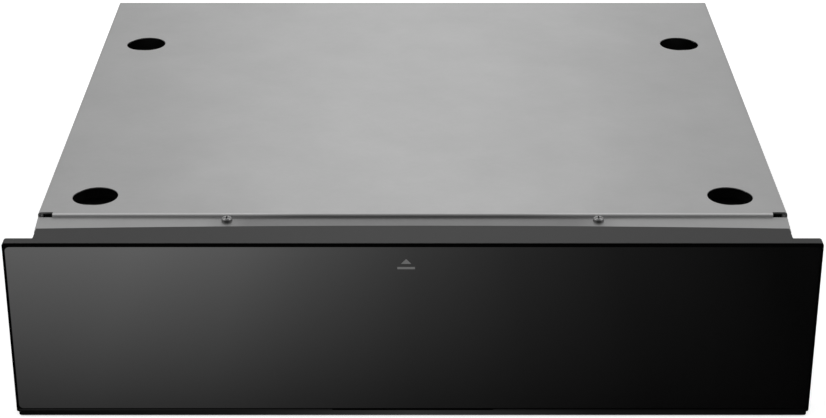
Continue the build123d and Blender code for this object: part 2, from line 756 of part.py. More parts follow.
bridge_x = stator_width / 2 - bearing_foot
with BuildPart() as motor_bridges:
    for face_y, away in ((stator_y, -1), (stator_back_y, 1)):
        arm_y = (face_y + away * bearing_reach, face_y + away * (bearing_reach + bearing_arm))
        arm_z = (fan_z - bearing_height / 2, fan_z + bearing_height / 2)
        block((-stator_width / 2, stator_width / 2), arm_y, arm_z)
        for side_name, side in sides:
            block((side * bridge_x, side * stator_width / 2), (face_y, arm_y[0]), arm_z)
        bush_start = (0, arm_y[1] - away * bush_length, fan_z)
        rod(bush_start, (0, away, 0), bush_radius, bush_length)
        rod(bush_start, (0, away, 0), shaft_radius + running_gap, bush_length, mode=Mode.SUBTRACT)
save(motor_bridges.part, "motor_bridges")

# ---- rotor and shaft, and the impeller on the shaft's front end
impeller_back_y = fan_plate_y - impeller_gap
impeller_front_y = impeller_back_y - impeller_plate - impeller_depth
shaft_back_y = stator_back_y + bearing_reach + bearing_arm + shaft_end
shaft_start_y = impeller_front_y - shaft_front
with BuildPart() as fan_shaft:
    rod((0, shaft_start_y, fan_z), (0, 1, 0), shaft_radius, shaft_back_y - shaft_start_y)
    rod((0, stator_y, fan_z), (0, 1, 0), rotor_radius, stator_stack)
save(fan_shaft.part, "fan_shaft")

with BuildPart() as fan_impeller:
    with BuildSketch(upright(impeller_back_y)):
        with Locations((0, fan_z)):
            Circle(impeller_radius)
    extrude(amount=impeller_plate)
    with BuildSketch(upright(impeller_back_y - impeller_plate)):
        with Locations((0, fan_z)):
            with PolarLocations(impeller_radius - blade_length / 2 - blade_inset, blade_count):
                Rectangle(blade_length, blade_thickness, rotation=blade_angle)
            Circle(hub_radius)
    extrude(amount=impeller_depth)
    with BuildSketch(upright(impeller_front_y + blade_ring_height)):
        with Locations((0, fan_z)):
            Circle(impeller_radius)
            Circle(impeller_radius - blade_ring, mode=Mode.SUBTRACT)
    extrude(amount=blade_ring_height)
    rod((0, impeller_back_y, fan_z), (0, -1, 0), shaft_radius + running_gap,
        impeller_plate + impeller_depth, mode=Mode.SUBTRACT)
save(fan_impeller.part, "fan_impeller")

# ---- overheat cut-out: a disc thermostat with two tabs on the cool side of the fan plate
with BuildPart() as overheat_cutout:
    rod((cutout_x, fan_plate_back_y, cutout_z), (0, 1, 0), cutout_radius, cutout_depth)
    fillet(overheat_cutout.edges().sort_by(Axis.Y)[-1], radius=0.1 * cutout_radius)
    for shift in (-0.45 * cutout_radius, 0.45 * cutout_radius):
        block((cutout_x + shift - tab_half_sheet, cutout_x + shift + tab_half_sheet),
              (fan_plate_back_y + cutout_depth, fan_plate_back_y + cutout_depth + cutout_tab),
              (cutout_z - tab_half_width, cutout_z + tab_half_width))
save(overheat_cutout.part, "overheat_cutout")

# ---- mains inlet: gland in the rear panel and terminal block on the base pan
with BuildPart() as cable_gland:
    rod((gland_x, rear_panel_y, gland_z), (0, 1, 0), gland_head_radius, gland_head_depth)
    fillet(cable_gland.edges().sort_by(Axis.Y)[-1], radius=0.3 * gland_head_depth)
    rod((gland_x, rear_panel_y, gland_z), (0, -1, 0), gland_body_radius, body_sheet + gland_nut_depth)
    with BuildSketch(Plane(origin=(gland_x, rear_flange_y, gland_z), z_dir=(0, -1, 0))):
        RegularPolygon(gland_head_radius, 6)
    extrude(amount=gland_nut_depth)
    rod((gland_x, rear_panel_y + gland_head_depth, gland_z), (0, -1, 0), gland_bore_radius,
        gland_head_depth + body_sheet + gland_nut_depth, mode=Mode.SUBTRACT)
save(cable_gland.part, "cable_gland")

terminal_y = (fan_plate_back_y + rear_flange_y) / 2
terminal_pitch = terminal_width / terminal_ways
terminal_xs = [terminal_x + (way - (terminal_ways - 1) / 2) * terminal_pitch for way in range(terminal_ways)]
with BuildPart() as terminal_block:
    block((terminal_x - terminal_width / 2, terminal_x + terminal_width / 2),
          (terminal_y - terminal_depth / 2, terminal_y + terminal_depth / 2),
          (base_top, base_top + terminal_height))
    for x in terminal_xs:
        rod((x, terminal_y, base_top + terminal_height), (0, 0, -1), 0.22 * terminal_pitch,
            0.5 * terminal_height, mode=Mode.SUBTRACT)
        rod((x, terminal_y + terminal_depth / 2, base_top + 0.4 * terminal_height), (0, -1, 0),
            0.2 * terminal_pitch, 0.4 * terminal_depth, mode=Mode.SUBTRACT)
save(terminal_block.part, "terminal_block")

# ================================================================ push latch
with BuildPart() as latch_body:
    block((-latch_half_width, latch_half_width), (latch_front_y, latch_back_y),
          (base_top, base_top + latch_height))
    fillet(latch_body.edges().filter_by(Axis.Y).group_by(Axis.Z)[-1], radius=0.2 * latch_height)
    for x, y in latch_ear_places:
        block((x - latch_ear / 2, x + latch_ear / 2), (y - latch_ear, y + latch_ear),
              (base_top, base_top + latch_ear_sheet))
        rod((x, y, base_top), (0, 0, 1), rivet_shank_radius + hole_gap, latch_ear_sheet, mode=Mode.SUBTRACT)
    rod((0, latch_front_y, latch_axis_z), (0, 1, 0), plunger_radius + plunger_gap,
        plunger_length - plunger_reach + plunger_room, mode=Mode.SUBTRACT)
save(latch_body.part, "latch_body")

latch_rivet = make_rivet(latch_ear_sheet + body_sheet)
latch_rivet_planes = [Plane(origin=(x, y, base_top + latch_ear_sheet)) for x, y in latch_ear_places]
save(place_all(latch_rivet, latch_rivet_planes), "latch_rivets")

with BuildPart() as latch_plunger:
    rod((0, plunger_front_y, latch_axis_z), (0, 1, 0), plunger_radius, plunger_length)
    rod((0, plunger_front_y, latch_axis_z), (0, 1, 0), plunger_tip_radius, plunger_tip_length)
    fillet(latch_plunger.edges().sort_by(Axis.Y)[0], radius=0.3 * plunger_tip_radius)
save(latch_plunger.part, "latch_plunger")

striker_back_y = plunger_front_y - striker_gap
with BuildPart() as latch_striker:
    block((-striker_half_width, striker_half_width), (striker_back_y - striker_sheet, striker_back_y),
          (striker_lift, drawer_floor_z))
    block((-striker_half_width, striker_half_width), (striker_back_y - striker_foot, striker_back_y),
          (drawer_floor_z - striker_sheet, drawer_floor_z))
save(latch_striker.part, "latch_striker")

# ================================================================ runners
rail_half = rail_height / 2
middle_half = rail_half - middle_inset
inner_half = rail_half - inner_inset
rail_y = (rail_front_y, rail_back_y)


def runner_member(side, web, reach, half_height, screw_gap):
    """C-shaped runner member. Web and reach are distances from the side panel."""
    with BuildPart() as member:
        low, high = rail_centre_z - half_height, rail_centre_z + half_height
        web_x = tuple(side * (wall_x - distance) for distance in web)
        flange_x = tuple(side * (wall_x - distance) for distance in reach)
        block(web_x, rail_y, (low, high))
        block(flange_x, rail_y, (low, low + rail_sheet))
        block(flange_x, rail_y, (high - rail_sheet, high))
        long_edges = member.edges().filter_by(Axis.Y)
        fillet([*long_edges.group_by(Axis.Z)[0], *long_edges.group_by(Axis.Z)[-1]], radius=rail_edge)
        if screw_gap:
            for y in rail_screw_ys:
                rod((web_x[0], y, rail_centre_z), (math.copysign(1, web_x[1] - web_x[0]), 0, 0),
                    screw_shank_radius + screw_gap, rail_sheet, mode=Mode.SUBTRACT)
    return member.part


def ball_rows(side, line, low_face, high_face):
    """Upper and lower ball strips between two flange faces, at a distance from the side panel."""
    ball_radius = (high_face - low_face) / 2 - ball_gap
    height = (high_face + low_face) / 2
    x = side * (wall_x - line)
    pitch = ball_row_length / ball_count
    with BuildPart() as rows:
        for z in (rail_centre_z - height, rail_centre_z + height):
            with BuildSketch(Plane.XY.offset(z - ball_strip / 2)):
                with Locations((x, rail_mid_y)):
                    Rectangle(2 * (ball_radius + ball_strip_rim), ball_row_length)
                    with GridLocations(pitch, pitch, 1, ball_count):
                        Circle(ball_radius + running_gap, mode=Mode.SUBTRACT)
            extrude(amount=ball_strip)
            with Locations((x, rail_mid_y, z)):
                with GridLocations(pitch, pitch, 1, ball_count):
                    Sphere(ball_radius)
    return rows.part


for side_name, side in sides:
    outer_member = runner_member(side, (0, rail_sheet), (0, outer_reach), rail_half, hole_gap)
    save(outer_member, f"rail_outer_{side_name}")
    middle_member = runner_member(
        side, (middle_web, middle_web + rail_sheet), (middle_web, middle_reach), middle_half, 0
    )
    save(middle_member, f"rail_middle_{side_name}")
    inner_member = runner_member(
        side,
        (rail_thickness - rail_sheet, rail_thickness),
        (inner_reach, rail_thickness),
        inner_half,
        hole_gap,
    )
    save(inner_member, f"rail_inner_{side_name}")
    outer_balls = ball_rows(side, outer_ball_line, middle_half, rail_half - rail_sheet)
    save(outer_balls, f"balls_outer_{side_name}")
    inner_balls = ball_rows(side, inner_ball_line, inner_half, middle_half - rail_sheet)
    save(inner_balls, f"balls_inner_{side_name}")

rail_screw = make_screw(low_head_radius, low_head_height, rail_sheet + body_sheet)
outer_screw_planes = [
    Plane(origin=(side * (wall_x - rail_sheet), y, rail_centre_z), x_dir=(0, 1, 0), z_dir=(-side, 0, 0))
    for side in (-1, 1)
    for y in rail_screw_ys
]
save(place_all(rail_screw, outer_screw_planes), "rail_screws_housing")
inner_screw_planes = [
    Plane(origin=(side * (drawer_x + rail_sheet), y, rail_centre_z), x_dir=(0, 1, 0), z_dir=(side, 0, 0))
    for side in (-1, 1)
    for y in rail_screw_ys
]
save(place_all(rail_screw, inner_screw_planes), "rail_screws_drawer")

# ================================================================ drawer front
# ---- printed mark: a triangle over a bar, let into the glass
mark_tip_z = glass_top - mark_top_drop
mark_base_z = mark_tip_z - mark_triangle_height
mark_bar_z = mark_base_z - mark_bar_drop - mark_bar_height / 2


def mark_outline():
    """Draw the printed mark in the sketch being built."""
    half_base = mark_triangle_width / 2
    Polygon(
        (mark_offset - half_base, mark_base_z),
        (mark_offset + half_base, mark_base_z),
        (mark_offset, mark_tip_z),
        align=None,
    )
    with Locations((mark_offset, mark_bar_z)):
        Rectangle(mark_bar_width, mark_bar_height)


with BuildPart() as push_mark:
    with BuildSketch(upright(front_y + mark_print)):
        mark_outline()
    extrude(amount=mark_print)
save(push_mark.part, "push_mark")

# ---- glass: black float glass with a polished bevel
with BuildPart() as front_glass:
    with BuildSketch(upright(carrier_y)):
        with Locations((0, (glass_bottom + glass_top) / 2)):
            RectangleRounded(2 * glass_x, glass_top - glass_bottom, glass_corner)
    extrude(amount=glass_thickness)
    chamfer(front_glass.faces().sort_by(Axis.Y)[0].edges(), length=glass_bevel)
    with BuildSketch(upright(front_y + mark_print)):
        mark_outline()
    extrude(amount=mark_print, mode=Mode.SUBTRACT)
save(front_glass.part, "front_glass")

# ---- bottom trim: bar under the glass with a tongue that goes up behind it
with BuildPart() as bottom_trim:
    with BuildSketch(upright(carrier_y)):
        with Locations((0, (trim_floor_gap + trim_top) / 2)):
            Rectangle(2 * glass_x, trim_top - trim_floor_gap)
    extrude(amount=glass_thickness)
    fillet(bottom_trim.edges().filter_by(Axis.Y).group_by(Axis.Z)[0], radius=trim_corner)
    block((-carrier_x, carrier_x), (carrier_y, carrier_back_y), (trim_leg_bottom, trim_leg_top))
    block((-trim_slot_width / 2, trim_slot_width / 2), (front_y, front_y + trim_slot_depth),
          (trim_top - trim_slot_height, trim_top), mode=Mode.SUBTRACT)
save(bottom_trim.part, "bottom_trim")

# ---- glass carrier: sheet bonded behind the glass, folded back along its top
with BuildPart() as glass_carrier:
    block((-carrier_x, carrier_x), (carrier_y, carrier_back_y), (trim_leg_top + trim_gap, carrier_top))
    block((-carrier_x, carrier_x), (carrier_back_y, carrier_back_y + carrier_fold),
          (carrier_top - carrier_sheet, carrier_top))
    for x, z in carrier_screw_places:
        rod((x, carrier_y, z), (0, 1, 0), screw_shank_radius + hole_gap, carrier_sheet, mode=Mode.SUBTRACT)
save(glass_carrier.part, "glass_carrier")

carrier_screw = make_screw(low_head_radius, low_head_height, drawer_sheet + carrier_sheet)
carrier_screw_planes = [
    Plane(origin=(x, carrier_back_y + drawer_sheet, z), x_dir=(1, 0, 0), z_dir=(0, 1, 0))
    for x, z in carrier_screw_places
]
save(place_all(carrier_screw, carrier_screw_planes), "carrier_screws")

# ================================================================ drawer tray
with BuildPart() as drawer_floor:
    block((-drawer_in_x, drawer_in_x), (carrier_back_y, drawer_back_y), (drawer_floor_z, drawer_floor_top))
save(drawer_floor.part, "drawer_floor")

for side_name, side in sides:
    with BuildPart() as drawer_side:
        with BuildSketch(Plane.YZ.offset(side * drawer_in_x)):
            with BuildLine():
                Polyline(
                    (carrier_back_y, drawer_floor_z),
                    (drawer_back_y, drawer_floor_z),
                    (drawer_back_y, drawer_wall_top),
                    (tray_in_front_y, drawer_wall_top),
                    (tray_in_front_y, deck_z),
                    (carrier_back_y, deck_z),
                    close=True,
                )
            make_face()
            with Locations(*((y, rail_centre_z) for y in rail_screw_ys)):
                Circle(screw_shank_radius + hole_gap, mode=Mode.SUBTRACT)
        extrude(amount=side * drawer_sheet)
        block((side * (drawer_in_x - drawer_rim), side * drawer_in_x), (tray_in_front_y, tray_in_back_y),
              (drawer_wall_top - drawer_sheet, drawer_wall_top))
        block((side * (drawer_in_x - bracket_flange), side * drawer_in_x),
              (carrier_back_y, carrier_back_y + drawer_sheet), (drawer_floor_top, deck_z))
        for x, z in carrier_screw_places:
            if x * side > 0:
                rod((x, carrier_back_y, z), (0, 1, 0), screw_shank_radius + hole_gap, drawer_sheet,
                    mode=Mode.SUBTRACT)
    save(drawer_side.part, f"drawer_side_{side_name}")

with BuildPart() as drawer_front_wall:
    block((-drawer_in_x, drawer_in_x), (tray_front_y, tray_in_front_y), (drawer_floor_top, deck_z))
    block((-drawer_in_x, drawer_in_x), (tray_front_y - deck_flange, tray_front_y),
          (deck_z - drawer_sheet, deck_z))
    for x in deck_screw_xs:
        rod((x, deck_screw_y, deck_z), (0, 0, -1), screw_shank_radius + hole_gap, drawer_sheet,
            mode=Mode.SUBTRACT)
save(drawer_front_wall.part, "drawer_front_wall")

tray_vent_z = (drawer_floor_top + drawer_wall_top) / 2
with BuildPart() as drawer_rear_wall:
    with BuildSketch(upright(drawer_back_y)):
        with Locations((0, tray_vent_z)):
            Rectangle(2 * drawer_in_x, drawer_wall_top - drawer_floor_top)
        intake_grille((0, tray_vent_z))
        for side_name, side in sides:
            slot_row((side * tray_vent_x, tray_vent_z), vent_pitch, partition_vent_columns)
    extrude(amount=drawer_sheet)
save(drawer_rear_wall.part, "drawer_rear_wall")

mat_size_x = 2 * (drawer_in_x - tray_mat_gap)
mat_size_y = tray_in_back_y - tray_in_front_y - 2 * tray_mat_gap
with BuildPart() as non_slip_mat:
    with BuildSketch(Plane.XY.offset(drawer_floor_top)):
        with Locations((0, (tray_in_front_y + tray_in_back_y) / 2)):
            RectangleRounded(mat_size_x, mat_size_y, tray_mat_corner)
    extrude(amount=tray_mat_thickness)
save(non_slip_mat.part, "non_slip_mat")

# ================================================================ controls
with BuildPart() as control_deck:
    block((-drawer_x, drawer_x), (carrier_back_y, tray_in_front_y), (deck_z, deck_top))
    with BuildSketch(Plane.XY.offset(deck_z)):
        with Locations((knob_x, control_y)):
            Circle(spindle_radius + button_gap)
        with Locations((button_x, control_y)):
            Rectangle(button_width + 2 * button_gap, button_depth + 2 * button_gap)
        with Locations((lens_x, control_y)):
            Circle(lens_radius + hole_gap)
        with Locations(*((x, deck_screw_y) for x in deck_screw_xs)):
            Circle(screw_shank_radius + hole_gap)
    extrude(amount=deck_sheet, mode=Mode.SUBTRACT)
save(control_deck.part, "control_deck")

deck_screw = make_screw(deck_head_radius, deck_head_height, deck_sheet + drawer_sheet + deck_sheet)
deck_screw_planes = [Plane(origin=(x, deck_screw_y, deck_top)) for x in deck_screw_xs]
save(place_all(deck_screw, deck_screw_planes), "deck_screws")

with BuildPart() as temperature_regulator:
    rod((knob_x, control_y, deck_z), (0, 0, -1), regulator_radius, regulator_height)
    fillet(temperature_regulator.edges().sort_by(Axis.Z)[0], radius=0.1 * regulator_radius)
    rod((knob_x, control_y, deck_z), (0, 0, -1), spindle_radius + running_gap, spindle_sink + hole_gap,
        mode=Mode.SUBTRACT)
save(temperature_regulator.part, "temperature_regulator")

knob_z = deck_top + knob_lift
spindle_top = deck_top + spindle_rise
with BuildPart() as knob_spindle:
    rod((knob_x, control_y, deck_z - spindle_sink), (0, 0, 1), spindle_radius,
        spindle_top - deck_z + spindle_sink)
save(knob_spindle.part, "knob_spindle")

with BuildPart() as temperature_knob:
    rod((knob_x, control_y, knob_z), (0, 0, 1), knob_radius, knob_height)
    fillet(temperature_knob.edges().sort_by(Axis.Z)[-1], radius=knob_edge)
    with BuildSketch(Plane.XY.offset(knob_z)):
        with Locations((knob_x, control_y)):
            with PolarLocations(knob_radius + 0.4 * knob_grip_radius, knob_grips):
                Circle(knob_grip_radius)
    extrude(amount=knob_height, mode=Mode.SUBTRACT)
    block((knob_x - knob_pointer_width / 2, knob_x + knob_pointer_width / 2),
          (control_y - knob_radius, control_y - 0.2 * knob_radius),
          (knob_z + knob_height - knob_pointer_depth, knob_z + knob_height), mode=Mode.SUBTRACT)
    rod((knob_x, control_y, knob_z), (0, 0, 1), spindle_radius + running_gap,
        spindle_top - knob_z + hole_gap, mode=Mode.SUBTRACT)
save(temperature_knob.part, "temperature_knob")

with BuildPart() as power_switch:
    block((button_x - switch_width / 2, button_x + switch_width / 2),
          (control_y - switch_depth / 2, control_y + switch_depth / 2), (deck_z - switch_height, deck_z))
    fillet(power_switch.edges().group_by(Axis.Z)[0], radius=0.06 * switch_depth)
    block((button_x - button_width / 2 - button_gap, button_x + button_width / 2 + button_gap),
          (control_y - button_depth / 2 - button_gap, control_y + button_depth / 2 + button_gap),
          (deck_z - switch_pocket, deck_z), mode=Mode.SUBTRACT)
save(power_switch.part, "power_switch")

with BuildPart() as power_button:
    block((button_x - button_width / 2, button_x + button_width / 2),
          (control_y - button_depth / 2, control_y + button_depth / 2),
          (deck_z - button_stem, deck_top + button_rise))
    fillet(power_button.edges().group_by(Axis.Z)[-1], radius=button_edge)
save(power_button.part, "power_button")

with BuildPart() as indicator_lens:
    rod((lens_x, control_y, deck_z), (0, 0, 1), lens_radius, deck_sheet + lens_rise)
    fillet(indicator_lens.edges().sort_by(Axis.Z)[-1], radius=0.9 * lens_rise)
save(indicator_lens.part, "indicator_lens")
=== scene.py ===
import json
import math

import bpy
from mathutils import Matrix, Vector


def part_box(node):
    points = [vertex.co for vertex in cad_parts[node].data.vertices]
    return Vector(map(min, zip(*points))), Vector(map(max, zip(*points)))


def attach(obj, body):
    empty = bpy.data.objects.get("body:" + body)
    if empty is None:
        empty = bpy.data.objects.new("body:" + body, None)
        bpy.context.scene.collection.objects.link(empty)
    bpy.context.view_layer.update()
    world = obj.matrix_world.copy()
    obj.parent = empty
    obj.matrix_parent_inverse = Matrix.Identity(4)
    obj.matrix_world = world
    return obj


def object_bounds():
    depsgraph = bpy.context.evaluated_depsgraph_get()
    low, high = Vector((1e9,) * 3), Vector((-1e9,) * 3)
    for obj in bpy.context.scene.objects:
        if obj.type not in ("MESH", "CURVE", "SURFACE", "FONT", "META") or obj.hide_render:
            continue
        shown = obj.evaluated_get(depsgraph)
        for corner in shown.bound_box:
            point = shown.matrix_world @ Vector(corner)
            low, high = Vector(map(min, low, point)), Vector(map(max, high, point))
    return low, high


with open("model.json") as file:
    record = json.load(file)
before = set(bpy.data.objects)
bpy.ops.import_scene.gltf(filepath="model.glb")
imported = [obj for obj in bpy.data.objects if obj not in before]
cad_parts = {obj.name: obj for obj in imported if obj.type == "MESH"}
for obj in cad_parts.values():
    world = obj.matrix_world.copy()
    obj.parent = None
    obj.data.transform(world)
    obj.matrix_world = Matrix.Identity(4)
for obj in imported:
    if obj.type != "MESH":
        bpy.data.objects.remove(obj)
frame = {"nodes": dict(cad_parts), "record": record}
cad_low, cad_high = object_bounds()

# Metres, in the frame of the part: X to the right, Y to the back, Z up from the floor.

# ---------------------------------------------------------------- places on the object
glass_front_y = cad_low[1]
frame_front_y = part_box("front_frame")[0][1]
lip_back_y = frame_front_y + 0.0519  # front bend of the cover
lip_shade_fade = 0.001  # depth over which the painted shade of the lip begins
lip_half_width = 0.27
painted_highlight_start = 0.0014  # painted highlight along the front bend, just behind it
painted_highlight_end = 0.0022
seal_shade_start = 0.0013  # back edge of the black band, partly a dark seal and partly painted gap shadow, behind the frame's front
seal_shade_end = 0.0017
front_facing = (-0.97, -0.85)  # Y of the normal, from the glass face to its bevel

# ---------------------------------------------------------------- material graphs
# sockets of the colour mix node, whose names stand for several sockets each
mix_share = 0
mix_first = 6
mix_second = 7
mix_result = 2


class Graph:
    """A node tree, with short calls for its nodes. A source is a node with the name of its output."""

    def __init__(self, tree):
        self.tree = tree
        self.place = self.add("ShaderNodeTexCoord")

    def add(self, kind, **values):
        """New node. Values go to its input sockets, or to its properties where no socket has the name."""
        node = self.tree.nodes.new(kind)
        for key, value in values.items():
            name = key.replace("_", " ")
            if name in node.inputs:
                node.inputs[name].default_value = value
            else:
                setattr(node, key, value)
        return node

    def join(self, source, output, target, socket):
        self.tree.links.new(source.outputs[output], target.inputs[socket])

    def axes(self, output):
        """One kind of texture coordinates, split by axis."""
        split = self.add("ShaderNodeSeparateXYZ")
        self.join(self.place, output, split, "Vector")
        return split

    def reckon(self, operation, *sources):
        """Math node over the sources."""
        node = self.add("ShaderNodeMath", operation=operation)
        for socket, source in enumerate(sources):
            self.join(*source, node, socket)
        return node, "Value"

    def span(self, source, low, high, start=0.3, end=0.7):
        """The source's values from start to end, spread from low to high."""
        ranger = self.add("ShaderNodeMapRange", From_Min=start, From_Max=end, To_Min=low, To_Max=high)
        self.join(*source, ranger, "Value")
        return ranger, "Result"


class Finish(Graph):
    """One node material: a principled surface, and short calls for the patterns on it."""

    def __init__(self, name, **surface):
        self.material = bpy.data.materials.new(name)
        self.material.use_nodes = True
        self.material.node_tree.nodes.clear()
        super().__init__(self.material.node_tree)
        self.surface = self.add("ShaderNodeBsdfPrincipled", **surface)
        self.output = self.add("ShaderNodeOutputMaterial")
        self.join(self.surface, "BSDF", self.output, "Surface")

    def noise(self, scale, stretch=(1, 1, 1), detail=6.0, rough=0.55):
        """Cloudy pattern over the object, scaled along each axis."""
        mapping = self.add("ShaderNodeMapping", Scale=stretch)
        noise = self.add("ShaderNodeTexNoise", Scale=scale, Detail=detail, Roughness=rough)
        self.join(self.place, "Object", mapping, "Vector")
        self.join(mapping, "Vector", noise, "Vector")
        return noise, "Fac"

    def cells(self, scale):
        """One grey value per cell, for the crystals of a zinc coating."""
        voronoi = self.add("ShaderNodeTexVoronoi", Scale=scale)
        split = self.add("ShaderNodeSeparateColor")
        self.join(self.place, "Object", voronoi, "Vector")
        self.join(voronoi, "Color", split, "Color")
        return split, "Red"

    def tint(self, source, stops):
        """Colour ramp over the pattern: pairs of a position and a colour."""
        ramp = self.add("ShaderNodeValToRGB")
        first, last = ramp.color_ramp.elements
        first.position, last.position = stops[0][0], stops[-1][0]
        first.color, last.color = (*stops[0][1], 1), (*stops[-1][1], 1)
        for position, colour in stops[1:-1]:
            ramp.color_ramp.elements.new(position).color = (*colour, 1)
        self.join(*source, ramp, "Fac")
        return ramp, "Color"

    def greys(self, source, *stops, warmth=0.0):
        """Ramp of near-neutral tones over the pattern: pairs of a position and a grey level."""
        return self.tint(source, [(position, shade(grey, warmth)) for position, grey in stops])

    def blend(self, first, second, factor, mode="MIX"):
        """Two colours blended evenly all over."""
        mix = self.add("ShaderNodeMix", data_type="RGBA", blend_type=mode)
        mix.inputs[mix_share].default_value = factor
        self.join(*first, mix, mix_first)
        self.join(*second, mix, mix_second)
        return mix, mix_result

    def swap(self, share, first, second):
        """First colour where the share is 0, second colour where it is 1."""
        mix = self.add("ShaderNodeMix", data_type="RGBA")
        self.join(*share, mix, mix_share)
        self.join(*first, mix, mix_first)
        self.join(*second, mix, mix_second)
        return mix, mix_result

    def relief(self, source, strength, distance, under=None):
        """Bump from the pattern, on top of another bump."""
        bump = self.add("ShaderNodeBump", Strength=strength, Distance=distance)
        self.join(*source, bump, "Height")
        if under:
            self.join(*under, bump, "Normal")
        return bump, "Normal"

    def wear(self, colour, rough=None, normal=None, specular=None):
        """Link the finished patterns to the surface."""
        self.join(*colour, self.surface, "Base Color")
        for source, socket in ((rough, "Roughness"), (normal, "Normal"), (specular, "Specular IOR Level")):
            if source:
                self.join(*source, self.surface, socket)


def shade(grey, warmth=0.0):
    """Near-neutral colour of one grey level."""
    return (grey * (1 + warmth), grey, grey * (1 - warmth))


# ---------------------------------------------------------------- finishes
def rolled_sheet(name, dark, light, rough, spangle, grain_axis):
    """Zinc-coated or bare sheet: faint crystals, rolling lines along one axis, soft stains."""
    finish = Finish(name, Metallic=1.0)
    stretch = [1.0, 1.0, 1.0]
    stretch[grain_axis] = 0.04
    stains = finish.noise(7.0, detail=5.0, rough=0.6)
    crystals = finish.cells(spangle)
    lines = finish.noise(900.0, stretch, detail=3.0)
    base = finish.greys(stains, (0.32, dark), (0.68, light))
    flakes = finish.greys(crystals, (0.0, dark * 0.97), (1.0, light * 1.02))
    streaks = finish.greys(lines, (0.3, dark * 0.96), (0.7, light * 1.03))
    colour = finish.blend(finish.blend(base, flakes, 0.28), streaks, 0.22)
    gloss = finish.span(stains, rough - 0.05, rough + 0.06)
    fine = finish.relief(lines, 0.05, 0.0002)
    finish.wear(colour, gloss, finish.relief(crystals, 0.03, 0.0003, fine))
    return finish.material


def coated(name, dark, light, rough, peel, scale=1500.0, metallic=0.0, warmth=0.0, **surface):
    """Paint, enamel or moulded plastic: a fine peel, faint cloudiness and a varied gloss."""
    finish = Finish(name, Metallic=metallic, **surface)
    clouds = finish.noise(26.0, detail=4.0)
    skin = finish.noise(scale, detail=4.0)
    base = finish.greys(clouds, (0.3, dark), (0.7, light), warmth=warmth)
    specks = finish.greys(skin, (0.3, dark * 0.85), (0.7, light * 1.12), warmth=warmth)
    gloss = finish.span(skin, rough - 0.05, rough + 0.07)
    finish.wear(finish.blend(base, specks, 0.3), gloss, finish.relief(skin, peel, 0.0002))
    return finish.material


def red_lens():
    """Clear red plastic of the indicator, with a polished skin."""
    finish = Finish("lens_red", Coat_Weight=0.6, Transmission_Weight=0.2)
    clouds = finish.noise(300.0, detail=3.0)
    dye = finish.tint(clouds, ((0.3, (0.24, 0.010, 0.006)), (0.7, (0.32, 0.016, 0.010))))
    finish.wear(dye, finish.span(clouds, 0.10, 0.16), finish.relief(clouds, 0.02, 0.0002))
    return finish.material


def fibres(name, dark, light, warmth, scale):
    """Mat of fibres or wound tape."""
    finish = Finish(name, Specular_IOR_Level=0.1, Sheen_Weight=0.02)
    coarse = finish.noise(scale, (1.0, 1.0, 3.0), detail=8.0, rough=0.7)
    fine = finish.noise(scale * 6, detail=6.0, rough=0.7)
    base = finish.greys(coarse, (0.3, dark), (0.7, light), warmth=warmth)
    threads = finish.greys(fine, (0.3, dark), (0.7, light), warmth=warmth)
    under = finish.relief(coarse, 0.8, 0.002)
    nap = finish.relief(fine, 0.6, 0.0006, under)
    finish.wear(finish.blend(base, threads, 0.5), finish.span(fine, 0.85, 1.0), nap)
    return finish.material


def polished_glass():
    """Black glass: opaque, with a faint waviness, thin wipe marks in the gloss and ground edges."""
    finish = Finish("black_glass", IOR=1.63)
    waves = finish.noise(5.0, detail=2.0)
    wipes = finish.noise(60.0, (1.0, 1.0, 0.25), detail=6.0, rough=0.65)
    base = finish.greys(waves, (0.3, 0.0012), (0.7, 0.0018))
    haze = finish.greys(wipes, (0.35, 0.0010), (0.7, 0.0020))
    facing = (finish.axes("Normal"), "Y")
    polish = finish.span(facing, 1.0, 0.0, *front_facing)
    ground = finish.span(facing, 0.0, 0.8, *front_facing)
    dulling = finish.reckon("ADD", finish.span(wipes, 0.08, 0.10), ground)
    finish.wear(finish.blend(base, haze, 0.4), dulling, finish.relief(waves, 0.004, 0.002), polish)
    return finish.material


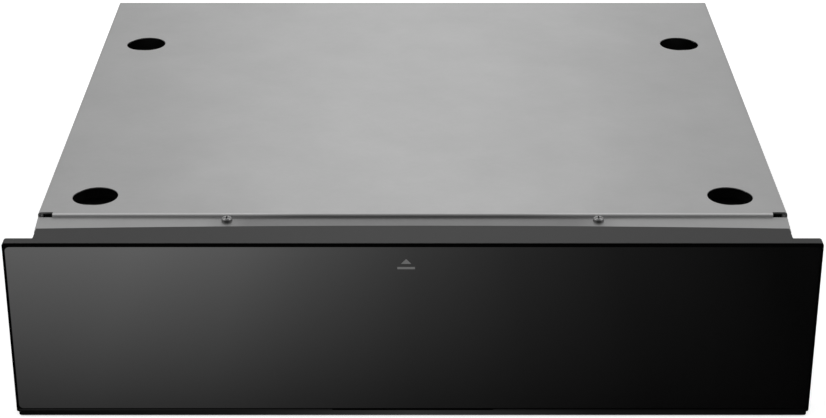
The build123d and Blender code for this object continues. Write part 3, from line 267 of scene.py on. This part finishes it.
def covered_sheet():
    """Zinc-coated sheet of the cover: fine satin mottle, a painted highlight along the front bend, and
    painted shade on the joggled lip in front, darkest in its middle.
    """
    finish = Finish("cover_sheet", Metallic=1.0)
    clouds = finish.noise(45.0, (0.8, 1.0, 1.0), detail=6.0, rough=0.6)
    crystals = finish.cells(420.0)
    grain = finish.noise(700.0, (0.35, 1.0, 1.0), detail=4.0, rough=0.6)
    stains = finish.noise(13.0, detail=6.0, rough=0.65)
    base = finish.greys(clouds, (0.3, 0.383), (0.7, 0.407))
    flakes = finish.greys(crystals, (0.0, 0.38), (1.0, 0.42))
    specks = finish.greys(grain, (0.3, 0.37), (0.7, 0.43))
    veil = finish.greys(stains, (0.3, 0.355), (0.7, 0.435))
    satin = finish.blend(finish.blend(finish.blend(base, flakes, 0.3), specks, 0.35), veil, 0.45)
    axes = finish.axes("Object")
    aside = finish.span(finish.reckon("ABSOLUTE", (axes, "X")), 0.0, 1.0, 0.0, lip_half_width)
    # painted highlight along the front bend, stronger towards the sides
    painted_highlight_mask = finish.span((axes, "Y"), 1.0, 0.0, lip_back_y + painted_highlight_start, lip_back_y + painted_highlight_end)
    painted_highlight_tone = finish.greys(aside, (0.0, 0.42), (0.3, 0.44), (0.45, 0.60), (1.0, 0.64))
    satin_with_painted_highlight = finish.swap(painted_highlight_mask, satin, painted_highlight_tone)
    # painted shade on the lip, darker in the middle
    painted_lip_shade_mask = finish.span((axes, "Y"), 1.0, 0.0, lip_back_y - lip_shade_fade, lip_back_y)
    painted_lip_shade = finish.greys(aside, (0.0, 0.42), (0.45, 0.45), (0.57, 0.78), (1.0, 0.93))
    colour = finish.swap(painted_lip_shade_mask, satin_with_painted_highlight, finish.blend(satin, painted_lip_shade, 1.0, "MULTIPLY"))
    gloss = finish.span(crystals, 0.42, 0.44, 0.0, 1.0)
    fine = finish.relief(grain, 0.04, 0.0002)
    finish.wear(colour, gloss, finish.relief(crystals, 0.015, 0.0003, fine))
    return finish.material


def framed_paint():
    """Dark grey powder coat of the frame, with a black band along its front, behind the glass: partly a
    dark seal, partly painted shadow of the gap between frame and glass.
    """
    finish = Finish("frame_paint")
    clouds = finish.noise(26.0, detail=4.0)
    skin = finish.noise(1500.0, detail=4.0)
    base = finish.greys(clouds, (0.3, 0.026), (0.7, 0.030))
    specks = finish.greys(skin, (0.3, 0.022), (0.7, 0.034))
    paint = finish.blend(base, specks, 0.3)
    # painted shadow: near-black band without gloss on the frame's front and the front of its top, partly a
    # dark seal, partly the shade of the gap behind the glass
    seal_and_gap_shade = finish.greys(skin, (0.3, 0.0016), (0.7, 0.0030))
    depth = (finish.axes("Object"), "Y")
    seal_and_gap_shade_edge = (frame_front_y + seal_shade_start, frame_front_y + seal_shade_end)
    seal_and_gap_shade_mask = finish.span(depth, 1.0, 0.0, *seal_and_gap_shade_edge)
    paint_shine_off_in_gap_shade = finish.span(depth, 0.0, 0.25, *seal_and_gap_shade_edge)
    peel = finish.relief(skin, 0.10, 0.0002)
    finish.wear(finish.swap(seal_and_gap_shade_mask, paint, seal_and_gap_shade), finish.span(skin, 0.46, 0.58), peel, paint_shine_off_in_gap_shade)
    return finish.material


def ribbed_mat():
    """Non-slip mat: rounded ribs across the drawer, with a dull rubber skin."""
    finish = Finish("mat_rubber", Specular_IOR_Level=0.3)
    wave = finish.add("ShaderNodeTexWave", Scale=80.0, wave_type="BANDS", bands_direction="X")
    finish.join(finish.place, "Object", wave, "Vector")
    ribs = (wave, "Fac")
    skin = finish.noise(1200.0, detail=4.0)
    # painted shade: the mat's colour is darker in the grooves between its ribs
    ribs_with_painted_groove_shade = finish.greys(ribs, (0.0, 0.018), (0.5, 0.05), (1.0, 0.058))
    specks = finish.greys(skin, (0.3, 0.035), (0.7, 0.07))
    under = finish.relief(ribs, 0.9, 0.0012)
    gloss = finish.span(skin, 0.6, 0.78)
    finish.wear(finish.blend(ribs_with_painted_groove_shade, specks, 0.3), gloss, finish.relief(skin, 0.2, 0.0002, under))
    return finish.material


finishes = {
    "galvanised": rolled_sheet("galvanised", 0.31, 0.36, 0.42, 260.0, 0),
    "stainless": rolled_sheet("stainless", 0.50, 0.58, 0.34, 2000.0, 1),
    "rail_steel": rolled_sheet("rail_steel", 0.42, 0.52, 0.30, 1500.0, 1),
    "laminations": rolled_sheet("laminations", 0.20, 0.30, 0.45, 1200.0, 0),
    "bright_aluminium": rolled_sheet("bright_aluminium", 0.62, 0.72, 0.30, 900.0, 2),
    "zinc": coated("zinc", 0.22, 0.30, 0.30, 0.05, 1800.0, metallic=1.0),
    "heater_metal": coated("heater_metal", 0.10, 0.20, 0.42, 0.15, 900.0, metallic=1.0, warmth=0.12),
    "frame_paint": framed_paint(),
    # black enamel of the heat shield under the cover's foot holes, near black with little gloss: partly
    # its dark enamel, partly painted shade seen through the holes
    "black_enamel": coated("black_enamel", 0.003, 0.005, 0.60, 0.12, 900.0, Specular_IOR_Level=0.1),
    "carrier_paint": coated("carrier_paint", 0.018, 0.026, 0.50, 0.15),
    "deck_black": coated("deck_black", 0.020, 0.028, 0.48, 0.25, 1100.0),
    "trim_black": coated("trim_black", 0.002, 0.003, 0.14, 0.02, 900.0),
    "black_plastic": coated("black_plastic", 0.020, 0.030, 0.52, 0.20),
    "knob_black": coated("knob_black", 0.022, 0.032, 0.34, 0.12),
    "white_plastic": coated("white_plastic", 0.62, 0.70, 0.42, 0.10, warmth=0.02),
    "ceramic_body": coated("ceramic_body", 0.60, 0.72, 0.60, 0.20, warmth=0.03),
    "mark_print": coated("mark_print", 0.215, 0.25, 0.45, 0.05),
    "lens_red": red_lens(),
    "insulation": fibres("insulation", 0.004, 0.014, 0.0, 220.0),
    "coil_tape": fibres("coil_tape", 0.10, 0.26, 0.35, 500.0),
    "black_glass": polished_glass(),
    "mat_rubber": ribbed_mat(),
}

slots = {part["node"]: part["material_slot"] for part in frame["record"]["subparts"]}
for node, piece in frame["nodes"].items():
    piece.data.materials.clear()
    piece.data.materials.append(finishes[slots[node]])
frame["nodes"]["top_cover"].data.materials[0] = covered_sheet()
# the partition stands behind the rear foot holes of the cover; its near-black tone is painted shade,
# standing in for the shade seen through the holes
frame["nodes"]["rear_partition"].data.materials[0] = coated(
    "painted_shade_dark_sheet", 0.003, 0.006, 0.62, 0.08, 900.0, Specular_IOR_Level=0.1
)


# ---------------------------------------------------------------- printed marks of the controls
def flat_piece(name, outlines, height, thickness, body):
    """Thin white piece, printed or inlaid: closed outlines of (x, y) points, thickened upwards."""
    material_slot = "white_plastic"
    vertices = []
    faces = []
    for outline in outlines:
        first = len(vertices)
        count = len(outline)
        vertices += [(x, y, height) for x, y in outline]
        vertices += [(x, y, height + thickness) for x, y in outline]
        faces.append([first + index for index in reversed(range(count))])
        faces.append([first + count + index for index in range(count)])
        for index in range(count):
            after = (index + 1) % count
            faces.append([first + index, first + after, first + count + after, first + count + index])
    mesh = bpy.data.meshes.new(name)
    mesh.from_pydata(vertices, [], faces)
    mesh.materials.append(finishes[material_slot])
    piece = bpy.data.objects.new(name, mesh)
    bpy.context.collection.objects.link(piece)
    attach(piece, body)


def point(centre, radius, turn):
    """Point at a radius and an angle in radians from the centre."""
    return (centre[0] + radius * math.cos(turn), centre[1] + radius * math.sin(turn))


def disc(centre, radius, steps=24):
    """Points of a circle."""
    return [point(centre, radius, 2 * math.pi * step / steps) for step in range(steps)]


def bar(centre, width, length):
    """Corners of a rectangle, its length along Y."""
    signs = ((-1, -1), (1, -1), (1, 1), (-1, 1))
    return [(centre[0] + x * width / 2, centre[1] + y * length / 2) for x, y in signs]


def arc_band(centre, radius, width, start, end, steps=28):
    """Points of a band along an arc, angles in radians."""
    turns = [start + (end - start) * step / steps for step in range(steps + 1)]
    outer = [point(centre, radius + width / 2, turn) for turn in turns]
    inner = [point(centre, radius - width / 2, turn) for turn in reversed(turns)]
    return outer + inner


def middle(low, high):
    """Middle of a box, seen from above."""
    return ((low[0] + high[0]) / 2, (low[1] + high[1]) / 2)


deck_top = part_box("control_deck")[1][2]
knob_low, knob_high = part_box("temperature_knob")
button_low, button_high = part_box("power_button")
knob_centre = middle(knob_low, knob_high)
button_centre = middle(button_low, button_high)
lens_centre = middle(*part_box("indicator_lens"))
ink = 0.00012

# dots round the knob, which grow with the temperature
scale_radius = 0.0142
scale_turn = math.radians(270)
scale_marks = 10
dot_radius = 0.00045  # first dot
dot_growth = 0.0006  # last dot over the first
dots = []
for mark in range(scale_marks):
    share = mark / (scale_marks - 1)
    turn = -math.pi / 2 - share * scale_turn
    dots.append(disc(point(knob_centre, scale_radius, turn), dot_radius + dot_growth * share))
flat_piece("knob_scale", dots, deck_top, ink, "drawer")

# power symbol of the button: a ring, open at the back, and a stroke in its gap
symbol_radius = 0.0021
symbol_line = 0.0005
stroke_length = 0.0022
stroke_offset = 0.0018
power_ring = arc_band(button_centre, symbol_radius, symbol_line, math.radians(125), math.radians(415))
power_stroke = bar((button_centre[0], button_centre[1] + stroke_offset), symbol_line, stroke_length)
flat_piece("power_symbol", [power_ring, power_stroke], button_high[2], ink, "button")

# pointer let into the knob's top, from near its rim inwards
pointer_width = 0.0010
pointer_rim = 0.0005  # rim of the knob to the pointer
pointer_depth = 0.0005
pointer_thickness = 0.0004
pointer_share = 0.7  # of the knob's radius
pointer_length = pointer_share * (knob_high[0] - knob_low[0]) / 2
pointer_middle = (knob_centre[0], knob_low[1] + pointer_rim + pointer_length / 2)
pointer = bar(pointer_middle, pointer_width, pointer_length)
flat_piece("pointer_inlay", [pointer], knob_high[2] - pointer_depth, pointer_thickness, "knob")

# broken ring round the lamp
ring_radius = 0.0042
ring_line = 0.0004
ring_parts = 4
ring_pitch = math.tau / ring_parts
ring_gap = math.radians(10)
lens_ring = []
for part in range(ring_parts):
    start = part * ring_pitch + ring_gap / 2
    lens_ring.append(arc_band(lens_centre, ring_radius, ring_line, start, start + ring_pitch - ring_gap))
flat_piece("lens_ring", lens_ring, deck_top, ink, "drawer")

# ---------------------------------------------------------------- studio floor
floor_half = 30.0
floor_lift = 0.62  # added to the lit floor where the camera sees it, up to white
card_half = 0.45  # tones of the card, from the middle to either side
card_depth = 0.2925  # glass face to where the card is palest
card_foot = (-0.010, -0.008)  # glass face to the card's foot, which the trim mirrors
card_edge = (0.0275, 0.0015)  # glass face to the card's back edge, under the drawer


def studio_floor():
    """White floor, which keeps the shadow. Gloss sees it white, with a dark card before the drawer."""
    finish = Finish("floor", Roughness=0.9)
    finish.wear(finish.greys(finish.noise(40.0, detail=3.0), (0.3, 0.80), (0.7, 0.82)))
    path = finish.add("ShaderNodeLightPath")
    lift = finish.add("ShaderNodeEmission", Color=(1, 1, 1, 1))
    seen = finish.span((path, "Is Camera Ray"), 0.0, floor_lift, 0.0, 1.0)
    finish.join(*seen, lift, "Strength")
    pale = finish.add("ShaderNodeAddShader")
    finish.join(finish.surface, "BSDF", pale, 0)
    finish.join(lift, "Emission", pale, 1)
    # the card: paler away from the drawer, darkest on the right
    axes = finish.axes("Object")
    along = (axes, "Y")
    across = finish.span((axes, "X"), 0.0, 1.0, -card_half, card_half)
    fall = finish.greys(
        across, (0.0, 0.9), (0.23, 1.0), (0.33, 0.82), (0.40, 0.58), (0.5, 0.33),
        (0.6, 0.17), (0.7, 0.08), (0.85, 0.02), (1.0, 0.011)
    )
    nearest = finish.greys(across, (0.15, 0.01), (0.35, 0.16), (0.5, 0.66), (0.65, 0.16), (0.85, 0.01))
    depth = finish.span(along, 0.21, 0.95, glass_front_y, glass_front_y - card_depth)
    foot = finish.span(along, 0.0, 1.0, *(glass_front_y + offset for offset in card_foot))
    card = finish.swap(foot, finish.blend(fall, depth, 1.0, "MULTIPLY"), nearest)
    before = finish.span(along, 0.0, 1.0, *(glass_front_y + offset for offset in card_edge))
    fade = finish.add("ShaderNodeMix", data_type="RGBA")
    fade.inputs[mix_first].default_value = (1, 1, 1, 1)
    finish.join(*before, fade, mix_share)
    finish.join(*card, fade, mix_second)
    mirror = finish.add("ShaderNodeEmission", Strength=1.0)
    finish.join(fade, mix_result, mirror, "Color")
    gloss = finish.reckon("MAXIMUM", (path, "Is Glossy Ray"), (path, "Is Transmission Ray"))
    choose = finish.add("ShaderNodeMixShader")
    finish.join(*gloss, choose, 0)
    finish.join(pale, "Shader", choose, 1)
    finish.join(mirror, "Emission", choose, 2)
    finish.join(choose, "Shader", finish.output, "Surface")
    return finish.material


floor_mesh = bpy.data.meshes.new("floor")
floor_signs = ((-1, -1), (1, -1), (1, 1), (-1, 1))
floor_mesh.from_pydata([(x * floor_half, y * floor_half, 0) for x, y in floor_signs], [], [(0, 1, 2, 3)])
floor = bpy.data.objects.new("floor", floor_mesh)
bpy.context.collection.objects.link(floor)
floor_mesh.materials.append(studio_floor())

# ---------------------------------------------------------------- backdrop and lamps
light_on_object = 0.45
gloss_in_front = 0.25
gloss_behind = 0.75
gloss_directions = (-0.45, 0.55)  # Y of the direction, from the one to the other


def studio_backdrop():
    """White to the camera, a plain light for the object, and a grey for its gloss."""
    world = bpy.data.worlds.new("studio")
    world.use_nodes = True
    sky = Graph(world.node_tree)
    path = sky.add("ShaderNodeLightPath")
    camera_ray = (path, "Is Camera Ray")
    mirrored = sky.reckon("MAXIMUM", camera_ray, (path, "Is Glossy Ray"))
    shown = sky.reckon("MAXIMUM", mirrored, (path, "Is Transmission Ray"))
    gloss = sky.span((sky.axes("Generated"), "Y"), gloss_in_front, gloss_behind, *gloss_directions)
    strength = sky.add("ShaderNodeMapRange", To_Min=light_on_object)
    sky.join(*shown, strength, "Value")
    sky.join(*sky.reckon("MAXIMUM", gloss, camera_ray), strength, "To Max")
    background = world.node_tree.nodes["Background"]
    background.inputs["Color"].default_value = (1, 1, 1, 1)
    sky.join(strength, "Result", background, "Strength")
    return world


bpy.context.scene.world = studio_backdrop()


def area_lamp(name, place, target, width, height, watts):
    """Soft rectangular lamp at place, facing target."""
    lamp = bpy.data.lights.new(name, "AREA")
    lamp.shape = "RECTANGLE"
    lamp.size = width
    lamp.size_y = height
    lamp.energy = watts
    holder = bpy.data.objects.new(name, lamp)
    holder.location = place
    holder.rotation_euler = (Vector(target) - Vector(place)).to_track_quat("-Z", "Y").to_euler()
    bpy.context.collection.objects.link(holder)


area_lamp("key", place=(-2.0, -0.6, 2.0), target=(0, 0, 0.1), width=1.8, height=1.8, watts=17)
area_lamp("fill", place=(2.0, -0.5, 1.9), target=(0, 0, 0.1), width=1.6, height=1.6, watts=13)
area_lamp("rear", place=(0.0, 2.4, 1.5), target=(0, 0, 0.14), width=0.9, height=1.2, watts=3)

# ---------------------------------------------------------------- camera
camera_distance = 1.5919  # in front of the object's middle
camera_height = 0.7900
camera_fall = math.radians(25.05)  # below the horizon
camera_data = bpy.data.cameras.new("camera")
camera_data.sensor_width = 36.0
camera_data.lens = 89.43
camera_data.shift_x = 0.0004
camera = bpy.data.objects.new("camera", camera_data)
camera.location = (0, -camera_distance, camera_height)
camera.rotation_euler = (math.pi / 2 - camera_fall, 0, 0)
bpy.context.collection.objects.link(camera)
bpy.context.scene.camera = camera
bpy.context.scene.view_settings.view_transform = "Standard"

bpy.context.view_layer.update()
